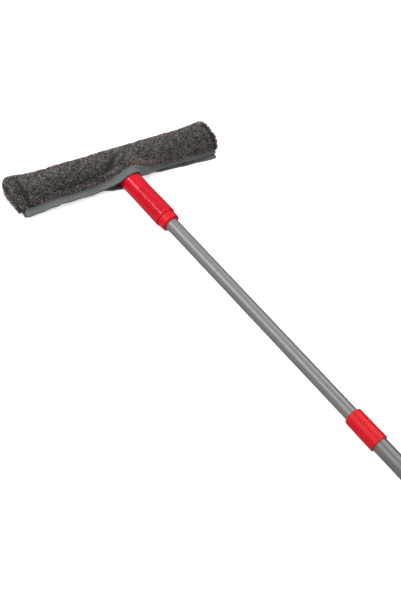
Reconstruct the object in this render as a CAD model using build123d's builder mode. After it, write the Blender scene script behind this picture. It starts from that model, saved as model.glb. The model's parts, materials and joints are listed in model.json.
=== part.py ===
from build123d import *
import os
from math import cos, radians, sin, tan

# Window cleaning squeegee: a covered T-head on a telescopic pole with a twist lock.
# It lies on the floor. X runs along the head, +Y points from the hand end to the head, +Z is up.
# The origin is on the floor, under the middle of the whole tool.
# All sizes are in millimetres.

# Pole tubes
inner_tube_diameter = 19.0
outer_tube_diameter = 22.0
tube_wall = 0.8
inner_tube_length = 480.0
outer_tube_length = 480.0
# Bare thin tube between the ring of its tip and the collar, as the pole is set
inner_tube_shown = 361.0

# Fits: radial gaps between rigid pieces, and the gap that cloth keeps from its neighbours
press_gap = 0.02
running_gap = 0.05
slide_gap = 0.15
cloth_gap = 0.3
# Room that the cloth leaves in front of the square lip of the blade
lip_room = 0.8
# Gap between flat faces that meet on different bodies
face_gap = 0.3

# Bar inside the sleeve. Its back face lies behind the middle line of the head
bar_length = 320.0
bar_depth = 20.0
bar_height = 15.0
bar_back = 5.0
bar_corner = 6.0
bar_wall = 2.2
bar_core = 36.0
cap_thickness = 2.5
cap_plug_length = 8.0

# Rubber blade in the nose of the bar
blade_reach = 6.0
blade_thickness = 2.0
blade_bead = 4.6
blade_gap = 0.2
bead_depth = 4.0

# Neck
neck_length = 101.5
neck_head_diameter = 29.0
neck_end_diameter = 30.8
neck_edge = 1.2
ear_width = 27.0
ear_reach = 14.0
ear_thickness = 3.2
ear_root = 4.0
ear_corner = 5.0
rib_count = 17
rib_pitch = 2.8
rib_depth = 0.6
rib_cutter = 1.2
rib_end_margin = 6.5
rib_half_angle = 41.0
rib_turn = 43.0

# Screws and nuts that hold the ears on the bar
screw_diameter = 4.0
screw_hole_gap = 0.1
screw_head_diameter = 7.6
screw_spacing = 14.0
nut_flats = 7.0
nut_height = 2.2
sink_angle = 90.0

# Red tip on the thin tube
tip_wall = 2.5
tip_socket_depth = 60.0
tip_end_wall = 3.0
tip_end_room = 1.0
tip_chamfer = 1.5
ring_length = 12.2
ring_diameter = 27.2
ring_lip = 2.2

# Collar on the mouth of the thick tube
collar_length = 49.0
collar_top_diameter = 25.6
collar_low_diameter = 26.4
collar_lip = 7.0
collar_round = 3.0
collar_rim = 0.8

# Twist lock
plug_length = 16.0
plug_flange = 3.0
lock_screw_diameter = 8.0
lock_head_diameter = 14.0
lock_head_height = 3.0
expander_length = 20.0
expander_collar = 4.0
expander_throat = 5.5
expander_taper = 9.6
expander_slit = 1.6
cone_setback = 3.7
cone_overhang = 3.7
cone_travel = 2.0
cone_head_room = 0.5

# Hand grip and end cap
grip_length = 118.0
grip_end_diameter = 27.0
grip_belly_diameter = 29.0
grip_rib_count = 14
grip_rib_pitch = 6.0
cap_spigot = 22.0
cap_shoulder = 8.0
cap_taper = 12.0
grip_edge = 1.0
eye_hole_diameter = 16.0
eye_web = 3.0
eye_thickness = 9.0
eye_edge = 1.5

# Sleeve of pile cloth. Offsets are measured from the middle line of the head, on the pole axis
sleeve_length = 350.0
cloth_thickness = 10.2
crown_offset = 11.0
front_lying_reach = 15.0
front_lifted_reach = 20.0
back_edge_reach = 11.0
edge_thickness = 6.3
flap_drop = 5.0
mouth_height = 1.5
end_round_length = 10.0
end_round_share = 0.62
mid_round_share = 0.9
low_bulge = 6.0
high_bulge = 2.5
quarter_fullness = 0.42
mouth_cut = 4.0
floor_cut = 0.5

# Tape along the edges of the two flaps
binding_thickness = 2.4
binding_inset = 1.0
tape_lying_reach = 25.0
tape_lifted_reach = 29.0
tape_fold_run = 1.0
front_tape_drop = 9.0
back_tape_reach = 21.0
back_tape_bulge = 3.0
arch_slack = 0.9
arch_share = 0.58
arch_spread = 2.2
settle_half_width = 95.0
arch_steps = 4
settle_steps = 3
fold_share = 0.75
tape_end_margin = 3.0

# Closing strips between the flaps
strip_length = 42.0
strip_width = 4.5
strip_end_margin = 20.0
hook_thickness = 1.2
strip_gap = 0.1

# Stations along the pole, measured from the middle line of the head towards the hand end
bar_front = bar_depth - bar_back
blade_tip = bar_front + blade_reach
neck_end = bar_back + neck_length
ring_start = neck_end + face_gap
ring_end = ring_start + ring_length
inner_tube_start = ring_end - tip_socket_depth
inner_tube_end = inner_tube_start + inner_tube_length
tip_start = inner_tube_start - tip_end_wall
socket_bottom = tip_start - tip_end_room
collar_start = ring_end + inner_tube_shown
collar_end = collar_start + collar_length
outer_tube_start = collar_start + collar_lip
outer_tube_end = outer_tube_start + outer_tube_length
plug_start = inner_tube_end - plug_length
plug_end = inner_tube_end + plug_flange
expander_start = plug_end + face_gap
expander_end = expander_start + expander_length
taper_start = expander_start + expander_collar
cone_start = taper_start + cone_setback
cone_end = expander_end + cone_overhang
lock_head_start = cone_end + cone_travel + cone_head_room
lock_head_end = lock_head_start + lock_head_height
grip_start = outer_tube_end - grip_length
cap_end = outer_tube_end + cap_shoulder
eye_center = cap_end + eye_web + eye_hole_diameter / 2

# Radii that several pieces share
inner_radius = inner_tube_diameter / 2
outer_radius = outer_tube_diameter / 2
outer_bore = outer_radius - tube_wall
lip_radius = inner_radius + slide_gap
spigot_radius = inner_radius + tip_wall
socket_radius = spigot_radius + running_gap
lock_screw_radius = lock_screw_diameter / 2
lock_radius = outer_bore - slide_gap
taper_slope = tan(radians(expander_taper))

# Heights above the pole axis
half_bar = bar_height / 2
ear_top = half_bar + ear_thickness
cavity_top = half_bar + cloth_gap
roll_top = cavity_top + cloth_thickness
neck_mouth_radius = neck_head_diameter / 2 + (neck_end_diameter - neck_head_diameter) / 2 * (
    tape_lifted_reach - bar_back
) / neck_length
flap_under = neck_mouth_radius + cloth_gap
axis_height = max(roll_top, flap_under + binding_thickness + cloth_gap)

# The tool is centred on the origin along Y
cavity_nose = blade_tip + lip_room
sleeve_nose = cavity_nose + cloth_thickness
eye_radius = axis_height
tail_reach = eye_center + eye_radius
head_y = (tail_reach - sleeve_nose) / 2

pole_axis = Axis((0, head_y, axis_height), (0, -1, 0))
pole_plane = Plane(origin=(0, head_y, axis_height), x_dir=(0, -1, 0), z_dir=(-1, 0, 0))
head_level = Plane(origin=(0, head_y, axis_height), x_dir=(1, 0, 0), z_dir=(0, 0, 1))


def across(station):
    """Plane square to the pole at a station, facing the hand end."""
    return Plane(origin=(0, head_y - station, axis_height), x_dir=(1, 0, 0), z_dir=(0, -1, 0))


def head_section(x):
    """Upright plane square to the head at x: its own x runs to the nose, its own y upwards."""
    return Plane(origin=(x, head_y, axis_height), x_dir=(0, 1, 0), z_dir=(1, 0, 0))


def turned_section(angle):
    """Plane along the pole: its own y leans from upright towards the left end by the angle."""
    turn = radians(angle)
    return Plane(origin=(0, head_y, axis_height), x_dir=(0, -1, 0), z_dir=(-cos(turn), 0, -sin(turn)))


def neck_radius(station):
    """Outer radius of the tapered neck at a station."""
    share = (station - bar_back) / neck_length
    return (neck_head_diameter + (neck_end_diameter - neck_head_diameter) * share) / 2


def taper_radius(station):
    """Radius of the tapered bore of the lock's slit sleeve at a station."""
    return expander_throat + (station - taper_start) * taper_slope


os.makedirs("parts", exist_ok=True)

# Lower pole: thick tube
with BuildPart() as outer_tube:
    with BuildSketch(across(outer_tube_start)):
        Circle(outer_radius)
        Circle(outer_bore, mode=Mode.SUBTRACT)
    extrude(amount=outer_tube_length)

# Lower pole: collar whose lip guides the thin tube and stops the lock
collar_seat = outer_radius + press_gap
with BuildPart() as guide_collar:
    with BuildSketch(pole_plane) as collar_profile:
        with BuildLine():
            Polyline(
                (collar_start, lip_radius),
                (collar_start, collar_top_diameter / 2),
                (collar_end, collar_low_diameter / 2),
                (collar_end, collar_seat),
                (outer_tube_start, collar_seat),
                (outer_tube_start, lip_radius),
                close=True,
            )
        make_face()
        rim_corners = collar_profile.vertices().group_by(Axis.X)
        fillet(rim_corners[0].sort_by(Axis.Y)[-1], radius=collar_round)
        chamfer(rim_corners[-1].sort_by(Axis.Y)[0], length=collar_rim)
        fillet(rim_corners[-1].sort_by(Axis.Y)[-1], radius=collar_rim)
    revolve(axis=pole_axis)

# Lower pole: ribbed hand grip
grip_ribs_start = (grip_start + outer_tube_end - (grip_rib_count - 1) * grip_rib_pitch) / 2
with BuildPart() as hand_grip:
    with BuildSketch(pole_plane):
        with BuildLine():
            grip_seat = Line((outer_tube_end, collar_seat), (grip_start, collar_seat))
            grip_front = Line(grip_seat @ 1, (grip_start, grip_end_diameter / 2))
            grip_belly = ThreePointArc(
                grip_front @ 1,
                ((grip_start + outer_tube_end) / 2, grip_belly_diameter / 2),
                (outer_tube_end, grip_end_diameter / 2),
            )
            Line(grip_belly @ 1, grip_seat @ 0)
        make_face()
    revolve(axis=pole_axis)
    fillet(hand_grip.edges().group_by(Axis.Y)[-1].sort_by(SortBy.RADIUS)[-1], radius=grip_edge)
    with BuildSketch(pole_plane):
        for groove in range(grip_rib_count):
            station = grip_ribs_start + groove * grip_rib_pitch
            with Locations((station, grip_belly_diameter / 2 + rib_cutter - rib_depth)):
                Circle(rib_cutter)
    revolve(axis=pole_axis, mode=Mode.SUBTRACT)

# Lower pole: end cap with the hanging eye, which also props the pole's end on the floor
with BuildPart() as end_cap:
    with BuildSketch(pole_plane):
        with Locations((eye_center, 0)):
            Circle(eye_radius)
    extrude(amount=eye_thickness / 2, both=True)
    chamfer(end_cap.edges().filter_by(GeomType.CIRCLE), length=eye_edge)
    with BuildSketch(across(outer_tube_end)):
        Circle(grip_end_diameter / 2)
    extrude(amount=cap_shoulder, taper=cap_taper)
    with BuildSketch(across(outer_tube_end - cap_spigot)):
        Circle(outer_bore - press_gap)
    extrude(amount=cap_spigot)
    with BuildSketch(pole_plane):
        with Locations((eye_center, 0)):
            Circle(eye_hole_diameter / 2)
    extrude(amount=eye_thickness / 2, both=True, mode=Mode.SUBTRACT)

# Upper pole: thin tube
with BuildPart() as inner_tube:
    with BuildSketch(across(inner_tube_start)):
        Circle(inner_radius)
        Circle(inner_radius - tube_wall, mode=Mode.SUBTRACT)
    extrude(amount=inner_tube_length)

# Upper pole: red tip, a capped socket for the tube with the ring that shows below the neck
tip_bore = inner_radius + press_gap
with BuildPart() as pole_tip:
    with BuildSketch(pole_plane) as tip_profile:
        with BuildLine():
            Polyline(
                (tip_start, 0),
                (tip_start, spigot_radius),
                (ring_start, spigot_radius),
                (ring_start, ring_diameter / 2),
                (ring_end, ring_diameter / 2),
                (ring_end, tip_bore),
                (inner_tube_start, tip_bore),
                (inner_tube_start, 0),
                close=True,
            )
        make_face()
        chamfer(tip_profile.vertices().group_by(Axis.X)[0].sort_by(Axis.Y)[-1], length=tip_chamfer)
        fillet(tip_profile.vertices().group_by(Axis.X)[-1].sort_by(Axis.Y)[-1], radius=ring_lip)
    revolve(axis=pole_axis)

# Upper pole: plug of the twist lock
screw_seat = lock_screw_radius + press_gap
with BuildPart() as tube_plug:
    with BuildSketch(pole_plane):
        with BuildLine():
            Polyline(
                (plug_start, screw_seat),
                (plug_start, inner_radius - tube_wall - press_gap),
                (inner_tube_end, inner_radius - tube_wall - press_gap),
                (inner_tube_end, lock_radius),
                (plug_end, lock_radius),
                (plug_end, screw_seat),
                close=True,
            )
        make_face()
    revolve(axis=pole_axis)

# Upper pole: lock screw, its head keeps the cone on
with BuildPart() as lock_screw:
    with BuildSketch(across(plug_start)):
        Circle(lock_screw_radius)
    extrude(amount=lock_head_end - plug_start)
    with BuildSketch(across(lock_head_start)):
        Circle(lock_head_diameter / 2)
    extrude(amount=lock_head_height)

# Twist lock: slit sleeve that the cone spreads against the thick tube
with BuildPart() as expander_sleeve:
    with BuildSketch(pole_plane):
        with BuildLine():
            Polyline(
                (expander_start, lock_screw_radius + slide_gap),
                (expander_start, lock_radius),
                (expander_end, lock_radius),
                (expander_end, taper_radius(expander_end)),
                (taper_start, expander_throat),
                (taper_start, lock_screw_radius + slide_gap),
                close=True,
            )
        make_face()
    revolve(axis=pole_axis)
    with BuildSketch(across(taper_start)):
        Rectangle(expander_slit, 2 * outer_radius)
        Rectangle(2 * outer_radius, expander_slit)
    extrude(amount=expander_length, mode=Mode.SUBTRACT)

# Twist lock: cone that travels on the screw
with BuildPart() as lock_cone:
    with BuildSketch(pole_plane):
        with BuildLine():
            Polyline(
                (cone_start, lock_screw_radius + running_gap),
                (cone_start, taper_radius(cone_start) - running_gap),
                (cone_end, taper_radius(cone_end) - running_gap),
                (cone_end, lock_screw_radius + running_gap),
                close=True,
            )
        make_face()
    revolve(axis=pole_axis)

# Head: neck with two ribbed panels, a socket for the tip, and two ears round the bar
rib_start = neck_end - rib_end_margin - (rib_count - 1) * rib_pitch
screw_y = ear_reach / 2 - bar_back
with BuildPart() as neck_grip:
    with BuildSketch(pole_plane) as neck_profile:
        with BuildLine():
            Polyline(
                (bar_back, 0),
                (bar_back, neck_head_diameter / 2),
                (neck_end, neck_end_diameter / 2),
                (neck_end, socket_radius),
                (socket_bottom, socket_radius),
                (socket_bottom, 0),
                close=True,
            )
        make_face()
        fillet(neck_profile.vertices().sort_by(Axis.Y).sort_by(Axis.X)[-1], radius=neck_edge)
    revolve(axis=pole_axis)
    for turn in (rib_turn - rib_half_angle, rib_turn - rib_half_angle + 180):
        with BuildSketch(turned_section(turn)):
            for rib in range(rib_count):
                station = rib_start + rib * rib_pitch
                with Locations((station, neck_radius(station) + rib_cutter - rib_depth)):
                    Circle(rib_cutter)
        revolve(axis=pole_axis, revolution_arc=2 * rib_half_angle, mode=Mode.SUBTRACT)
    with BuildSketch(head_level.offset(half_bar)):
        with Locations((0, (ear_reach - ear_root) / 2 - bar_back)):
            RectangleRounded(ear_width, ear_reach + ear_root, ear_corner)
    extrude(amount=ear_thickness)
    with BuildSketch(head_level.offset(-half_bar)):
        with Locations((0, (ear_reach - ear_root) / 2 - bar_back)):
            RectangleRounded(ear_width, ear_reach + ear_root, ear_corner)
    extrude(amount=-ear_thickness)
    with Locations(head_level.offset(ear_top)):
        with GridLocations(screw_spacing, 1, 2, 1):
            with Locations((0, screw_y, 0)):
                CounterSinkHole(
                    screw_diameter / 2 + screw_hole_gap,
                    screw_head_diameter / 2 + screw_hole_gap,
                    counter_sink_angle=sink_angle,
                )
    with BuildSketch(head_level.offset(-ear_top)):
        with Locations((0, screw_y)):
            with GridLocations(screw_spacing, 1, 2, 1):
                RegularPolygon(nut_flats / 2 + screw_hole_gap, 6, major_radius=False)
    extrude(amount=nut_height, mode=Mode.SUBTRACT)

# Head: bar with two cored halves, a solid middle for the screws and a slot for the blade
bead_y = bar_front - bead_depth
pocket_depth = bead_y - blade_bead / 2 - blade_gap - bar_wall + bar_back - bar_wall
pocket_middle = bar_wall - bar_back + pocket_depth / 2
pocket_height = bar_height - 2 * bar_wall
pocket_length = (bar_length - bar_core) / 2
with BuildPart() as head_bar:
    with BuildSketch(head_section(-bar_length / 2)):
        with Locations(((bar_front - bar_back) / 2, 0)):
            RectangleRounded(bar_depth, bar_height, bar_corner)
        with Locations((bead_y, 0)):
            Circle(blade_bead / 2 + blade_gap, mode=Mode.SUBTRACT)
        with Locations((bead_y + bead_depth / 2, 0)):
            Rectangle(bead_depth, blade_thickness + 2 * blade_gap, mode=Mode.SUBTRACT)
    extrude(amount=bar_length)
    for end in (-1, 1):
        with BuildSketch(head_section(end * bar_length / 2)):
            with Locations((pocket_middle, 0)):
                RectangleRounded(pocket_depth, pocket_height, bar_wall)
        extrude(amount=-end * pocket_length, mode=Mode.SUBTRACT)
    with Locations(head_level.offset(half_bar)):
        with GridLocations(screw_spacing, 1, 2, 1):
            with Locations((0, screw_y, 0)):
                Hole(screw_diameter / 2 + screw_hole_gap)

# Head: caps on the ends of the bar
with BuildPart() as bar_end_caps:
    with BuildSketch(head_section(bar_length / 2)):
        with Locations(((bar_front - bar_back) / 2, 0)):
            RectangleRounded(bar_depth, bar_height, bar_corner)
    extrude(amount=cap_thickness)
    with BuildSketch(head_section(bar_length / 2)):
        with Locations((pocket_middle, 0)):
            RectangleRounded(
                pocket_depth - 2 * running_gap, pocket_height - 2 * running_gap, bar_wall - running_gap
            )
    extrude(amount=-cap_plug_length)
    mirror(about=Plane.YZ)

# Head: rubber blade, a bead in the slot and a lip that stands out of the nose
with BuildPart() as rubber_blade:
    with BuildSketch(head_section(-bar_length / 2)):
        with Locations((bead_y, 0)):
            Circle(blade_bead / 2)
        with Locations(((bead_y + blade_tip) / 2, 0)):
            Rectangle(blade_tip - bead_y, blade_thickness)
    extrude(amount=bar_length)

# Head: countersunk screws through the ears and the bar
screw_plane = Plane(
    origin=(screw_spacing / 2, head_y + screw_y, axis_height),
    x_dir=(1, 0, 0),
    z_dir=(0, -1, 0),
)
screw_neck = ear_top - (screw_head_diameter - screw_diameter) / 2 / tan(radians(sink_angle / 2))
with BuildPart() as neck_screws:
    with BuildSketch(screw_plane):
        with BuildLine():
            Polyline(
                (0, -ear_top),
                (screw_diameter / 2, -ear_top),
                (screw_diameter / 2, screw_neck),
                (screw_head_diameter / 2, ear_top),
                (0, ear_top),
                close=True,
            )
        make_face()
    revolve(axis=Axis(screw_plane.origin, (0, 0, 1)))
    mirror(about=Plane.YZ)

# Head: nuts let into the lower ear
with BuildPart() as neck_nuts:
    with BuildSketch(head_level.offset(-ear_top)):
        with Locations((0, screw_y)):
            with GridLocations(screw_spacing, 1, 2, 1):
                RegularPolygon(nut_flats / 2, 6, major_radius=False)
                Circle(screw_diameter / 2 + running_gap, mode=Mode.SUBTRACT)
    extrude(amount=nut_height)

# Shape of the cloth along the head
sleeve_half = sleeve_length / 2
arch_half_width = arch_spread * neck_mouth_radius
ear_half = ear_width / 2 + cloth_gap
cavity_half = bar_length / 2 + cap_thickness + cloth_gap
shoulder_y = bar_corner / 4 - bar_back
arched_under = flap_under + arch_slack
neck_clear = neck_head_diameter / 2 + cloth_gap
floor_level = -axis_height


def hump(x, half_width, flat=0.0):
    """Smooth rise along the head: 1 over the flat middle, 0 past the half width."""
    share = min(max(abs(x) - flat, 0) / (half_width - flat), 1)
    return 1 - share * share * (3 - 2 * share)


def lift(x):
    """How far the neck lifts the front flap at x: 1 over the neck, 0 near the ends."""
    return arch_share * hump(x, arch_half_width) + (1 - arch_share) * hump(x, settle_half_width)


def between(low, high, share):
    """Value that runs from low to high as the share runs from 0 to 1."""
    return low + (high - low) * share


def front_edge(x):
    """Height of the pile's edge on the front flap."""
    return between(-flap_drop, arched_under + edge_thickness, lift(x))


def front_reach(x):
    """How far the pile's edge on the front flap stands back from the head's middle line."""
    return between(front_lying_reach, front_lifted_reach, lift(x))


def front_tape_edge(x):
    """Height of the upper face of the front tape at its free edge."""
    return between(-front_tape_drop, arched_under + binding_thickness, lift(x))


def mouth_floor(x):
    """Height of the inner face of the back flap at the mouth."""
    return between(-flap_drop - edge_thickness - mouth_height, -flap_under, lift(x))


def cavity_crown(x):
    """Height of the cavity over the bar, raised where the ears of the neck lie."""
    return between(cavity_top, ear_top + cloth_gap, hump(x, arch_half_width + ear_half, ear_half))


def quarter(start, corner, end):
    """Middle point of a rounded quarter between two points that share a corner."""
    middle = ((start[0] + end[0]) / 2, (start[1] + end[1]) / 2)
    return (
        between(middle[0], corner[0], quarter_fullness),
        between(middle[1], corner[1], quarter_fullness),
    )


half_stations = [arch_half_width * step / arch_steps for step in range(1, arch_steps + 1)]
half_stations += [
    between(arch_half_width, settle_half_width, step / settle_steps) for step in range(1, settle_steps + 1)
]
stations = [-x for x in reversed(half_stations)] + [0.0] + half_stations

# Outline of the sleeve at x, drawn towards its middle near the closed ends
def sleeve_outline(x, share):
    crown = (crown_offset, roll_top)
    edge = (-front_reach(x), front_edge(x))
    run = (edge[0] - crown[0], edge[1] - crown[1])
    span = (run[0] ** 2 + run[1] ** 2) ** 0.5
    bulge = between(low_bulge, high_bulge, lift(x))
    shoulder = (
        (crown[0] + edge[0]) / 2 + bulge * run[1] / span,
        (crown[1] + edge[1]) / 2 - bulge * run[0] / span,
    )
    nose = (sleeve_nose, 0)
    heel = (crown_offset, floor_level - floor_cut)
    points = [
        crown,
        shoulder,
        edge,
        (edge[0], edge[1] - edge_thickness),
        (-back_edge_reach, mouth_floor(x)),
        (-back_edge_reach, floor_level - floor_cut),
        heel,
        quarter(heel, (sleeve_nose, heel[1]), nose),
        nose,
        quarter(crown, (sleeve_nose, roll_top), nose),
    ]
    return [(between(crown_offset, y, share), z * share) for y, z in points]


# Head: sleeve of pile cloth, closed and rounded at its ends, open along the pole side
round_start = sleeve_half - end_round_length
round_middle = sleeve_half - end_round_length / 3
sleeve_ends = [(sleeve_half, end_round_share), (round_middle, mid_round_share), (round_start, 1.0)]
sleeve_stations = [(-x, share) for x, share in sleeve_ends]
sleeve_stations += [(x, 1.0) for x in stations]
sleeve_stations += reversed(sleeve_ends)
with BuildPart() as wash_sleeve:
    for x, share in sleeve_stations:
        outline = sleeve_outline(x, share)
        with BuildSketch(head_section(x)):
            with BuildLine():
                ThreePointArc(outline[0], outline[1], outline[2])
                Polyline(outline[2], outline[3], outline[4], outline[5], outline[6])
                ThreePointArc(outline[6], outline[7], outline[8])
                ThreePointArc(outline[8], outline[9], outline[0])
            make_face()
    loft(ruled=True)
    for x in [-cavity_half] + stations + [cavity_half]:
        crown = (bar_front - bar_corner, cavity_crown(x))
        heel = (bar_front - bar_corner, -cavity_crown(x))
        nose = (cavity_nose, 0)
        edge = -front_reach(x)
        roof = front_edge(x) - edge_thickness
        with BuildSketch(head_section(x)):
            with BuildLine():
                Polyline(
                    crown,
                    (shoulder_y, between(cavity_top, neck_clear, lift(x))),
                    (edge, roof),
                    (edge - mouth_cut, roof),
                    (edge - mouth_cut, mouth_floor(x)),
                    (-back_edge_reach, mouth_floor(x)),
                    (shoulder_y, between(-cavity_top, -neck_clear, lift(x))),
                    heel,
                )
                ThreePointArc(heel, quarter(heel, (nose[0], heel[1]), nose), nose)
                ThreePointArc(nose, quarter(crown, (nose[0], crown[1]), nose), crown)
            make_face()
    loft(ruled=True, mode=Mode.SUBTRACT)
    split(bisect_by=Plane.XY, keep=Keep.TOP)

# Head: tape along the front flap, arched over the neck
tape_half = sleeve_half - tape_end_margin
with BuildPart() as front_binding:
    for x in [-tape_half] + stations + [tape_half]:
        start = -front_reach(x)
        tip = -between(tape_lying_reach, tape_lifted_reach, lift(x))
        root = front_edge(x) - binding_inset
        edge = front_tape_edge(x)
        fold = between(root, edge, fold_share)
        with BuildSketch(head_section(x)):
            with BuildLine():
                Polyline(
                    (start, root),
                    (start - tape_fold_run, fold),
                    (tip, edge),
                    (tip, edge - binding_thickness),
                    (start - tape_fold_run, fold - binding_thickness),
                    (start, root - binding_thickness),
                    close=True,
                )
            make_face()
    loft(ruled=True)

# Head: tape along the back flap, flat, and wider under the neck
with BuildPart() as back_binding:
    for x in [-tape_half] + stations + [tape_half]:
        tip = -back_tape_reach - back_tape_bulge * hump(x, arch_half_width)
        with BuildSketch(head_section(x)):
            with BuildLine():
                Polyline(
                    (-back_edge_reach, -flap_under),
                    (tip, -flap_under),
                    (tip, -flap_under - binding_thickness),
                    (-back_edge_reach, -flap_under - binding_thickness),
                    close=True,
                )
            make_face()
    loft(ruled=True)

# Head: closing strips between the flaps, hooks above and loops below, near both ends
strip_start = sleeve_half - strip_end_margin - strip_length
strip_root = front_lying_reach + tape_fold_run
strip_edge = strip_root + strip_width
tape_root = -flap_drop - binding_inset
tape_fold = between(tape_root, -front_tape_drop, fold_share)
hook_top = tape_fold - binding_thickness
hook_fall = (-front_tape_drop - tape_fold) / (tape_lying_reach - strip_root) * strip_width
with BuildPart() as hook_strips:
    with BuildSketch(head_section(strip_start)):
        with BuildLine():
            Polyline(
                (-strip_root, hook_top),
                (-strip_edge, hook_top + hook_fall),
                (-strip_edge, hook_top + hook_fall - hook_thickness),
                (-strip_root, hook_top - hook_thickness),
                close=True,
            )
        make_face()
    extrude(amount=strip_length)
    mirror(about=Plane.YZ)

loop_top = hook_top - hook_thickness - strip_gap
with BuildPart() as loop_strips:
    with BuildSketch(head_section(strip_start)):
        with BuildLine():
            Polyline(
                (-strip_root, loop_top),
                (-strip_edge, loop_top + hook_fall),
                (-strip_edge, -flap_under),
                (-strip_root, -flap_under),
                close=True,
            )
        make_face()
    extrude(amount=strip_length)
    mirror(about=Plane.YZ)

sub_parts = {
    "outer_tube": outer_tube,
    "guide_collar": guide_collar,
    "hand_grip": hand_grip,
    "end_cap": end_cap,
    "inner_tube": inner_tube,
    "pole_tip": pole_tip,
    "tube_plug": tube_plug,
    "lock_screw": lock_screw,
    "expander_sleeve": expander_sleeve,
    "lock_cone": lock_cone,
    "neck_grip": neck_grip,
    "head_bar": head_bar,
    "bar_end_caps": bar_end_caps,
    "rubber_blade": rubber_blade,
    "neck_screws": neck_screws,
    "neck_nuts": neck_nuts,
    "wash_sleeve": wash_sleeve,
    "front_binding": front_binding,
    "back_binding": back_binding,
    "hook_strips": hook_strips,
    "loop_strips": loop_strips,
}
for name, sub_part in sub_parts.items():
    sub_part.part.label = name
    export_step(sub_part.part, f"parts/{name}.step")
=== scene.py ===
import bpy
import bmesh
import json
import math
import random
from mathutils import Matrix, Quaternion, Vector, noise
from mathutils.geometry import interpolate_bezier

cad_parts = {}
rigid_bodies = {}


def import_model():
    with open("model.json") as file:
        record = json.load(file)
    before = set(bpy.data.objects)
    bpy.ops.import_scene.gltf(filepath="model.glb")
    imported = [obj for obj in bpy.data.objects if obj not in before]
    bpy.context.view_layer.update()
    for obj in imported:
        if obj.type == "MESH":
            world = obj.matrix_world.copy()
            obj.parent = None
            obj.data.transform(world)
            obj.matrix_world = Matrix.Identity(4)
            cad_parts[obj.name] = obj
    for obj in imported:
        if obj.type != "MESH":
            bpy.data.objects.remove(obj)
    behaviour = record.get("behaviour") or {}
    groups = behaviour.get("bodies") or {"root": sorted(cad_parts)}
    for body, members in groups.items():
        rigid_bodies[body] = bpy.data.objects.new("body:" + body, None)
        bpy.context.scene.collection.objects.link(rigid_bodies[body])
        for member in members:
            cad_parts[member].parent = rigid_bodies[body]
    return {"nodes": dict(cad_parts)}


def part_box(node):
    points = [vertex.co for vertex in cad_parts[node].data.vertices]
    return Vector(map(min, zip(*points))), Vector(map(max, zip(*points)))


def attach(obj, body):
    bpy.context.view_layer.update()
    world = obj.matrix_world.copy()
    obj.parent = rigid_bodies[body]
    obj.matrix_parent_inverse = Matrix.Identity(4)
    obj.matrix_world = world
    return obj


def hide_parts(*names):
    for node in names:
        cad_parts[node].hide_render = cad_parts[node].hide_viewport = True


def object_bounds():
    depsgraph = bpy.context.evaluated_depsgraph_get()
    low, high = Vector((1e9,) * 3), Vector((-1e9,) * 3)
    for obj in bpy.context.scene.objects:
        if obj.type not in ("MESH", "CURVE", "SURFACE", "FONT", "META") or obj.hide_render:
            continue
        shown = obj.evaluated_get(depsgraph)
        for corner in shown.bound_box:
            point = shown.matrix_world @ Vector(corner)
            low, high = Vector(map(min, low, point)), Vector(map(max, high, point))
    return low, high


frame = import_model()
cadLow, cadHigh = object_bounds()
nodes = frame["nodes"]
scene = bpy.context.scene
mm = 0.001
print("frame loaded with", len(nodes), "nodes")

# places read from the frame: the pole axis and the middle line of the head
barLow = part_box("head_bar")[0]
tubeLow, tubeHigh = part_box("inner_tube")
sleeveLow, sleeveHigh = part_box("wash_sleeve")
barBack = 5 * mm  # how far the bar reaches from the middle line towards the pole
axisHeight = (tubeLow.z + tubeHigh.z) / 2
headY = barLow.y + barBack
sleeveHalf = (sleeveHigh.x - sleeveLow.x) / 2


# shader groups that several finishes share
def newGroup(name, inputs, outputs):
    group = bpy.data.node_groups.new(name, "ShaderNodeTree")
    for label, value in inputs.items():
        socket = group.interface.new_socket(label, in_out="INPUT", socket_type="NodeSocketFloat")
        socket.default_value = value
    for label in outputs:
        group.interface.new_socket(label, in_out="OUTPUT", socket_type="NodeSocketFloat")
    source = group.nodes.new("NodeGroupInput")
    target = group.nodes.new("NodeGroupOutput")
    return group, source, target


def fill(node, values):
    # sets a node's inputs by name
    for label, value in values.items():
        node.inputs[label].default_value = value


def mathNode(tree, operation, first, second=None, clamp=False):
    node = tree.nodes.new("ShaderNodeMath")
    node.operation = operation
    node.use_clamp = clamp
    for socket, value in zip(node.inputs, (first, second)):
        if value is None:
            continue
        if isinstance(value, (int, float)):
            socket.default_value = value
        else:
            tree.links.new(value, socket)
    return node.outputs[0]


def objectPlace(tree):
    # x, y and z in the frame
    where = tree.nodes.new("ShaderNodeTexCoord")
    split = tree.nodes.new("ShaderNodeSeparateXYZ")
    tree.links.new(where.outputs["Object"], split.inputs[0])
    return split.outputs


def mapPlace(tree):
    # u and v of the piece's own map
    where = tree.nodes.new("ShaderNodeUVMap")
    split = tree.nodes.new("ShaderNodeSeparateXYZ")
    tree.links.new(where.outputs[0], split.inputs[0])
    return split.outputs[0], split.outputs[1]


def makeGrainGroup():
    group, source, target = newGroup(
        "surfaceGrain", {"Fine scale": 900.0, "Broad scale": 40.0, "Stretch": 1.0}, ["Fine", "Broad"]
    )
    x, y, z = objectPlace(group)
    join = group.nodes.new("ShaderNodeCombineXYZ")
    group.links.new(x, join.inputs[0])
    group.links.new(mathNode(group, "DIVIDE", y, source.outputs["Stretch"]), join.inputs[1])
    group.links.new(z, join.inputs[2])
    for label, detail in (("Fine", 2.0), ("Broad", 4.0)):
        cloud = group.nodes.new("ShaderNodeTexNoise")
        cloud.inputs["Detail"].default_value = detail
        group.links.new(join.outputs[0], cloud.inputs["Vector"])
        group.links.new(source.outputs[label + " scale"], cloud.inputs["Scale"])
        group.links.new(cloud.outputs["Fac"], target.inputs[label])
    return group


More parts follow.
